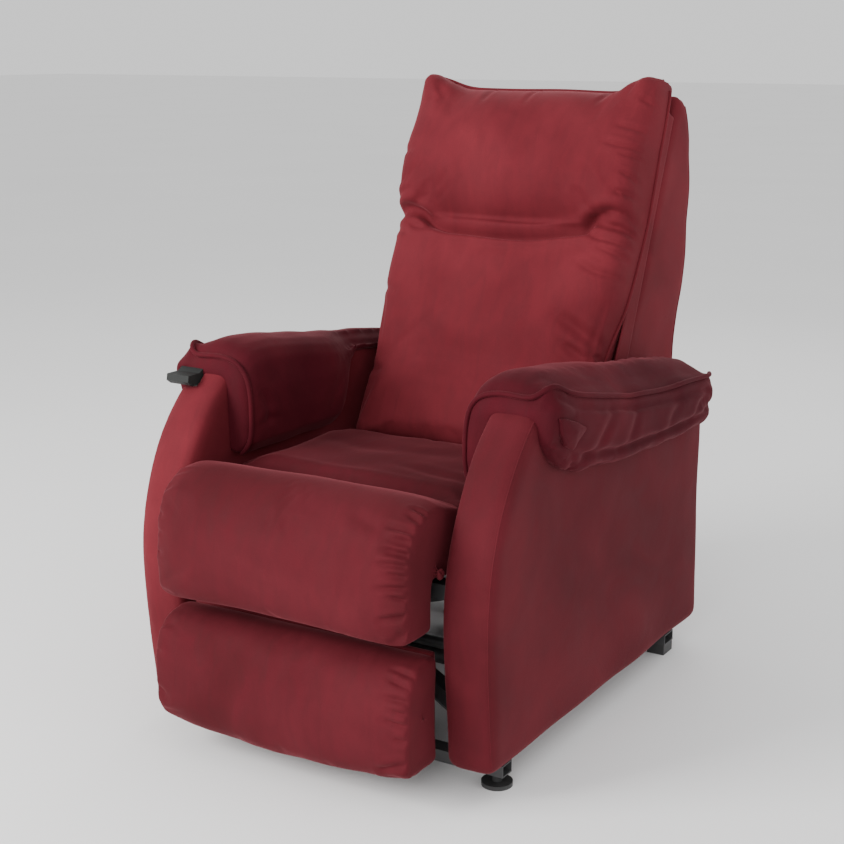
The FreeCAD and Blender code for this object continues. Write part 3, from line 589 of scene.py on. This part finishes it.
def pillow_mesh():
    ups = np.concatenate([np.linspace(0, 30, 6), np.linspace(40, 680, 80), np.linspace(686, 716, 12)])
    sides = np.sin(np.linspace(-math.pi / 2, math.pi / 2, 81))
    verts, faces = [], []
    for layer in (0, 1):
        for up in ups:
            half = curve_value(up, HALF_WIDE)
            seam = curve_value(up, SIDE_SEAM)
            thick = curve_value(up, THICK)
            ear = ramp(up, 560, 716)
            for side in sides:
                full = (1 - abs(side) ** 14) ** 0.34
                out = seam + (thick - seam) * full if layer else -8.0 + (8.0 + 0.5 * seam) * (1 - full)
                lift = EAR_LIFT * ramp(abs(side) * half, EAR_START, EAR_END) * ear
                out += layer * 34 * ramp(abs(side) * half, 150, 232) * ramp(up, 640, 712) * full
                verts.append(back_point(side * half, up + lift, out))
    rows, columns = len(ups), len(sides)
    size = rows * columns
    for i in range(rows - 1):
        for j in range(columns - 1):
            a = i * columns + j
            faces.append((a, a + 1, a + columns + 1, a + columns))
            faces.append((size + a, size + a + columns, size + a + columns + 1, size + a + 1))
    border = ([j for j in range(columns)] + [i * columns + columns - 1 for i in range(1, rows)]
              + [(rows - 1) * columns + j for j in range(columns - 2, -1, -1)]
              + [i * columns for i in range(rows - 2, 0, -1)])
    for a, b in zip(border, border[1:] + border[:1]):
        faces.append((b, a, size + a, size + b))
    return verts, faces


pillow = link_mesh("back_pillow", *pillow_mesh())
remesh(pillow, 0.006, 3)


def pillow_pins(co):
    flat = back_flat(co)
    out = (co - BACK_AT) @ BACK_OUT / MM
    half = curve_value(flat[:, 1], HALF_WIDE)
    held = (np.abs(flat[:, 0]) > half - 7) | (out < 4) | (np.abs(flat[:, 1] - TUCK_UP) < 7)
    return held.astype(float)


shift_out(pillow, -3.0)
inflate(pillow, 4.0, 0.014, pillow_pins)
subdivide(pillow)


def back_facing(co, nor):
    return ramp(nor @ BACK_OUT, 0.0, 0.35)


BACK_CREASES = [
    ([(-246, 440), (-225, 452), (-189, 449), (-153, 429), (-116, 420), (-76, 418), (-3, 416), (68, 419),
      (121, 428), (161, 435), (179, 455), (217, 466), (250, 460)], 19.0, 8.5),
    ([(-205, 424), (-180, 419), (-150, 412)], 5.0, 6.5),
    ([(178, 450), (200, 447), (229, 444), (253, 433)], 7.0, 6.5),
    ([(160, 428), (190, 422), (214, 418), (251, 412)], 5.0, 6.0),
    ([(190, 408), (225, 398), (260, 387)], 4.0, 6.0),
    ([(165, 374), (190, 363), (211, 357), (250, 354)], 4.5, 6.5),
    ([(198, 625), (213, 622), (244, 620)], 4.0, 5.0),
    ([(184, 588), (214, 583), (245, 582)], 5.0, 5.5), ([(210, 571), (224, 569), (246, 568)], 4.0, 4.5),
    ([(220, 538), (236, 533), (248, 525)], 4.0, 4.5), ([(215, 502), (234, 501), (250, 501)], 4.5, 5.0),
    ([(222, 680), (236, 677), (246, 672)], 3.5, 4.5), ([(150, 273), (200, 246), (236, 224)], 8.0, 11.0),
    ([(168, 223), (190, 212), (214, 200)], 5.0, 8.0), ([(225, 214), (232, 208), (238, 202)], 4.0, 5.0),
    ([(-103, 706), (-100, 690), (-95, 668)], 2.6, 6.0), ([(-5, 706), (-6, 688), (-2, 664)], 2.4, 6.0),
    ([(150, 712), (147, 694), (140, 670)], 2.6, 6.0), ([(-200, 716), (-192, 694), (-176, 668)], 3.2, 7.0),
    ([(212, 722), (204, 700), (190, 676)], 3.2, 7.0), ([(-244, 470), (-222, 480), (-196, 486)], 4.0, 6.0),
    ([(-242, 420), (-222, 412), (-196, 404)], 4.0, 6.5), ([(-243, 560), (-226, 562), (-204, 558)], 2.6, 6.0),
    ([(-241, 300), (-222, 296), (-200, 288)], 2.6, 6.5), ([(-236, 150), (-216, 140), (-190, 138)], 3.0, 8.0),
    ([(-60, 330), (30, 318), (120, 330)], 1.6, 26.0), ([(-150, 560), (-20, 548), (110, 562)], 1.6, 26.0),
    ([(90, 120), (140, 140), (200, 134)], 2.4, 14.0),
]
press(pillow, back_flat, back_facing, BACK_CREASES)
wobble(pillow, 1.5, 150.0, 17)
finish_soft(pillow, "backrest", "velvet", ["back_cushion"])

seam_heights = np.linspace(20, 700, 30)
for hand, sign in HANDS:
    edge = [back_point(sign * (curve_value(up, HALF_WIDE) + 3), up + EAR_LIFT * ramp(up, 560, 716),
                       curve_value(up, SIDE_SEAM)) / MM for up in seam_heights]
    piping(f"back_pillow_welt_{hand}", edge, 3.2, "backrest", "velvet", on=pillow)
top_edge = [back_point(x, 722 + EAR_LIFT * float(ramp(abs(x), EAR_START, EAR_END)), 34.0) / MM
            for x in np.linspace(-236, 236, 25)]
piping("back_pillow_welt_top", top_edge, 3.2, "backrest", "velvet", on=pillow)

for hand, sign in HANDS:
    # a thin panel, as (up, out), closes the gap between pillow and shell
    rim = [(60, -34), (60, 8), (200, 20), (340, 12), (520, 10), (690, 16), (690, -32), (380, -33)]
    verts = [back_point(sign * x, up, out) for x in (237.6, 241.6) for up, out in rim]
    faces = [(k, (k + 1) % 8, 8 + (k + 1) % 8, 8 + k) for k in range(8)]
    faces += [tuple(range(8)), tuple(range(15, 7, -1))]
    gusset = link_mesh(f"back_side_gusset_{hand}", verts, faces)
    remesh(gusset, 0.0025, 1)
    finish_soft(gusset, "backrest", "velvet", [])

shell = start_from("back_shell", "back_outer", 0.008, 7)
co = get_points(shell)
co[:, 0] *= 1 + 0.045 * ramp(co[:, 2], 0.56, 0.74)
set_points(shell, co)
inflate(shell, 3.0, 0.008, lambda co: (np.abs(co[:, 0]) > 0.222).astype(float))
subdivide(shell)
wobble(shell, 1.3, 160.0, 21)
finish_soft(shell, "backrest", "velvet", ["back_shell"])
for hand, sign in HANDS:
    path = [(sign * 241, y, z) for y, z in
            ((437, 362), (463, 460), (477, 540), (494, 700), (508, 860), (500, 955), (468, 1014))]
    piping(f"back_shell_seam_{hand}", path, 2.2, "backrest", "velvet", on=shell, lift=-0.2)

# ---------------------------------------------------------------- upholstered arm panels

for hand, sign in HANDS:
    panel = start_from(f"arm_panel_{hand}", f"arm_cover_{hand}", 0.0075, 3)
    low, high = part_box(f"arm_panel_{hand}")
    co, nor = get_points(panel), get_normals(panel)
    rise = ramp(co[:, 2], low.z, low.z + 0.10) * ramp(high.y - co[:, 1], 0.0, 0.10)
    crown = 0.0035 * rise * ramp(nor[:, 0] * sign, 0.5, 0.95)
    set_points(panel, co + nor * crown[:, None])
    subdivide(panel)
    wobble(panel, 0.9, 170.0, 31 if sign > 0 else 37)
    path = [(sign * 333.5, y, z) for y, z in
            ((-414, 60), (-424, 130), (-430, 200), (-434, 290), (-421, 390), (-385, 478), (-330, 552),
             (-286, 590))]
    # painted shade: the left panel and its seam take the darker low copy of the velvet, the right panel the
    # plain velvet
    if hand == "left":
        piping("arm_cover_seam_left", path, 1.4, "carriage", "velvet", on=panel, lift=-0.1,
               material=MATERIALS["low_painted_shade_velvet"])
    finish_soft(panel, "carriage", "velvet", [f"arm_panel_{hand}"],
                "low_painted_shade_velvet" if hand == "left" else None)

# ---------------------------------------------------------------- padded caps over the arms

# the arm cap's lines along the arm, as (y, z) in mm: its top, the welt along its outer edge, the fold under
# its outer band, and the bottom of the roll below that
CREST = ((-296, 602), (-290, 614), (-280, 627), (-262, 637), (-236, 642), (-200, 641), (-150, 635), (0, 612),
         (200, 589), (300, 573), (360, 558), (392, 544))
EDGE = ((-296, 600), (-285, 617), (-270, 627), (-255, 624), (-240, 615), (-227, 606), (-180, 596),
        (-135, 585), (0, 560), (142, 543), (260, 536), (352, 530), (392, 531))
FOLD = ((-296, 560), (-270, 548), (-235, 528), (-179, 508), (-49, 489), (92, 480), (246, 474), (330, 477),
        (392, 488))
ROLL = ((-296, 548), (-276, 522), (-250, 497), (-185, 474), (-30, 455), (113, 447), (213, 442), (310, 444),
        (352, 446), (392, 462))
ARM_ARC_Y, ARM_ARC_Z, ARM_ARC_RADIUS = -56.64, 290.36, 379.36


def arm_top(y):
    """Height of the arm panel's top, or of its front curve, under the cap."""
    if y > -244.4:
        return 540 + (380 - y) * 80 / 624.4
    return ARM_ARC_Z + math.sqrt(ARM_ARC_RADIUS ** 2 - (y - ARM_ARC_Y) ** 2)


def cap_rings(y, hand):
    """Outer and inner outline of the cap at one station, as (x, z), from the inner flap to the outer band."""
    crest, edge, fold, roll_low = (float(curve_value(y, table)) for table in (CREST, EDGE, FOLD, ROLL))
    top = arm_top(y)
    hem = 452 + (top - 12 - 452) * float(ramp(y, -20, 92))
    flap = 1 - float(ramp(y, -40, 96))
    bulge = 9 + 37 * flap
    inner_x = 250 - bulge
    height = max(crest - hem, 20)
    drawn = 13 * (1 - float(ramp(y, -284, -215)))
    outer = [(250, hem + 1), (250 - 0.45 * bulge, hem - 3), (inner_x + 5, hem + 0.10 * height),
             (inner_x, hem + 0.32 * height), (inner_x + 1, hem + 0.58 * height), (inner_x + 8, crest - 34),
             (inner_x + 20, crest - 16), (inner_x + 38, crest - 5), (272, crest), (300, crest - 2),
             (324, crest - 0.30 * (crest - edge) - 4), (343 - drawn, crest - 0.62 * (crest - edge) - 4),
             (355 - drawn, edge + 6), (360 - drawn, edge - 5),
             (367, 0.5 * (edge + fold) + 12), (369, fold + 16), (363, fold + 1),
             (362, 0.5 * (fold + roll_low)), (353, roll_low + 3), (343, roll_low), (336, roll_low + 12)]
    free = 355 if hand == "right" and y < -150 else 331
    inner = [(256, hem + 4), (257, hem + 5), (257, hem + 0.12 * height), (257, hem + 0.34 * height),
             (257, hem + 0.60 * height), (257, min(crest - 36, top - 2)), (256, top - 6), (264, top - 12),
             (280, top - 14), (300, top - 14), (314, top - 14), (325, top - 12), (332, top - 6),
             (free, min(edge - 8, top)), (free, 0.5 * (edge + fold) + 8), (free, fold + 12),
             (331, min(fold + 1, 560)), (331, 0.5 * (fold + roll_low)), (331, roll_low + 16),
             (331, roll_low + 14), (331, roll_low + 13)]
    return outer, inner


FRONT_PINCH = {0: 0.35, 1: 0.16, 2: 0.06}
REAR_PINCH = {0: 0.5, 1: 0.22, 2: 0.08}


def cap_mesh(hand, sign):
    stations = [-294, -288, -280, -270, -258, -244, -228] + list(range(-205, 350, 24)) + [356, 368, 378]
    verts, faces, columns = [], [], 21
    for index, y in enumerate(stations):
        outer, inner = cap_rings(y, hand)
        from_end = len(stations) - 1 - index
        pinch = FRONT_PINCH.get(index, REAR_PINCH.get(from_end, 0))
        for (ox, oz), (ix, iz) in zip(outer, inner):
            verts.append((sign * (ox + (ix - ox) * pinch) * MM, y * MM, (oz + (iz - oz) * pinch) * MM))
        verts.extend((sign * ix * MM, y * MM, iz * MM) for ix, iz in inner)
    step = 2 * columns
    for i in range(len(stations) - 1):
        for j in range(columns - 1):
            a = i * step + j
            faces.append((a, a + 1, a + step + 1, a + step))
            b = a + columns
            faces.append((b, b + step, b + step + 1, b + 1))
        a, b = i * step, i * step + columns
        faces.append((a, a + step, b + step, b))
        a, b = a + columns - 1, b + columns - 1
        faces.append((a, b, b + step, a + step))
    last = (len(stations) - 1) * step
    for j in range(columns - 1):
        faces.append((j, j + columns, j + columns + 1, j + 1))
        faces.append((last + j, last + j + 1, last + j + columns + 1, last + j + columns))
    return verts, faces


def cap_line(hand, sign, y, index):
    x, z = cap_rings(y, hand)[0][index]
    return (sign * x, y, z)


def side_view(co):
    return co[:, 1:] / MM


def looking(sign):
    """How much each point takes part in press: all where the surface faces sign along X."""
    return lambda co, nor: ramp(nor[:, 0] * sign, 0.1, 0.5)


for hand, sign in HANDS:
    cap = link_mesh(f"arm_cap_{hand}", *cap_mesh(hand, sign))
    remesh(cap, 0.005, 4)

    def cap_pins(co, sign=sign):
        wide = co[:, 0] * sign / MM
        top = np.array([arm_top(y) for y in co[:, 1] / MM]) * MM
        on_panel = (wide > 249) & (wide < 338) & (co[:, 2] < top + 0.004)
        return (on_panel | (co[:, 1] < -0.286)).astype(float)

    if hand == "left":
        inflate(cap, 3.0, 0.006, cap_pins)
    subdivide(cap)
    under_welt = [(y, float(curve_value(y, EDGE)) - 13) for y in range(-262, 392, 30)]
    fold_line = [(y, float(curve_value(y, FOLD)) - 1) for y in range(-262, 392, 30)]
    press(cap, side_view, looking(sign), [
        (fold_line, 8.0, 7.0), (under_welt, 5.0, 5.0), ([(-200, 500), (-150, 520), (-90, 560)], 3.0, 9.0),
        ([(-60, 492), (-20, 515), (10, 545)], 2.2, 10.0), ([(110, 484), (150, 505), (200, 520)], 2.4, 9.0),
        ([(240, 478), (280, 500), (330, 512)], 2.6, 8.0), ([(-170, 482), (-120, 476), (-60, 466)], 2.6, 8.0),
        ([(-246, 520), (-226, 508), (-205, 480)], 3.4, 7.0), ([(60, 462), (120, 470), (190, 462)], 2.2, 9.0),
        ([(250, 455), (300, 462), (350, 468)], 2.4, 8.0)])
    press(cap, side_view, looking(-sign), [
        ([(-262, 560), (-240, 530), (-236, 490)], 3.0, 9.0),
        ([(-266, 500), (-235, 505), (-205, 500)], 2.6, 8.0),
        ([(-180, 600), (-120, 560), (-90, 500)], 1.8, 20.0),
        ([(-60, 470), (-30, 520), (10, 570)], 2.0, 16.0)])
    wobble(cap, 1.2, 110.0, 41 if sign > 0 else 43)
    # the cap, and its tongue and welt below, take arm_velvet, whose darker tints are painted shade on the cap
    # tops
    finish_soft(cap, "carriage", "arm_velvet",
                [f"arm_pad_{hand}", f"arm_drape_outer_{hand}", f"arm_drape_inner_{hand}"])
    rim = [(-284, 589), (-262, 584), (-230, 571), (-196, 556),
           (-212, 541), (-231, 526), (-258, 540), (-278, 562)]
    verts = [(sign * (x + 4 * math.sin(0.9 * k)) * MM, y * MM, z * MM)
             for x in (364, 371) for k, (y, z) in enumerate(rim)]
    verts += [(sign * x * MM, -0.242, 0.558) for x in (362, 379)]
    faces = [(k, (k + 1) % 8, 8 + (k + 1) % 8, 8 + k) for k in range(8)]
    faces += [((k + 1) % 8, k, 16) for k in range(8)] + [(8 + k, 8 + (k + 1) % 8, 17) for k in range(8)]
    tongue = link_mesh(f"arm_cap_tongue_{hand}", verts, faces)
    remesh(tongue, 0.003, 3)
    subdivide(tongue)
    wobble(tongue, 0.8, 60.0, 61)
    finish_soft(tongue, "carriage", "arm_velvet", [])
    front = [cap_line(hand, sign, -288 + rise, index) for index, rise in
             ((1, 2), (2, 0), (3, 0), (4, 0), (5, 0), (6, 0), (7, 0), (8, 0), (9, 0), (10, 1), (11, 3))]
    along = [cap_line(hand, sign, y, 12)
             for y in (-276, -262, -240, -205, -160, -110, -60, 0, 60, 120, 180, 240, 300, 350, 384)]
    piping(f"arm_cap_welt_{hand}", front + along, 4.2, "carriage", "arm_velvet", on=cap, lift=0.75)

# ---------------------------------------------------------------- covered board edges and the rear valance

for node_name, name, body in (("back_frame", "back_board_cover", "backrest"),
                              ("rear_valance", "rear_panel_cover", "carriage"),
                              ("legrest_board", "legrest_board_cover", "footrest")):
    cover = start_from(node_name, name, 0.005, 0)
    shift_out(cover, 3.0)
    finish_soft(cover, body, "velvet", [node_name] if node_name == "rear_valance" else [])

# ---------------------------------------------------------------- floor

floor_material, floor_tree, floor_shader = start_material("floor_paint")
floor_place = floor_tree.nodes.new("ShaderNodeTexCoord").outputs["Object"]
floor_colour = add_ramp(floor_tree, add_noise(floor_tree, floor_place, 0.8, 2.0),
                        ((0.3, (0.86, 0.86, 0.86)), (0.7, (0.88, 0.88, 0.88))))
floor_tree.links.new(floor_colour, floor_shader.inputs["Base Color"])
floor_shader.inputs["Roughness"].default_value = 0.9
floor_shader.inputs["Specular IOR Level"].default_value = 0.1
floor = link_mesh("floor", [(-40, -40, 0), (40, -40, 0), (40, 40, 0), (-40, 40, 0)], [(0, 1, 2, 3)])
floor.data.materials.append(floor_material)
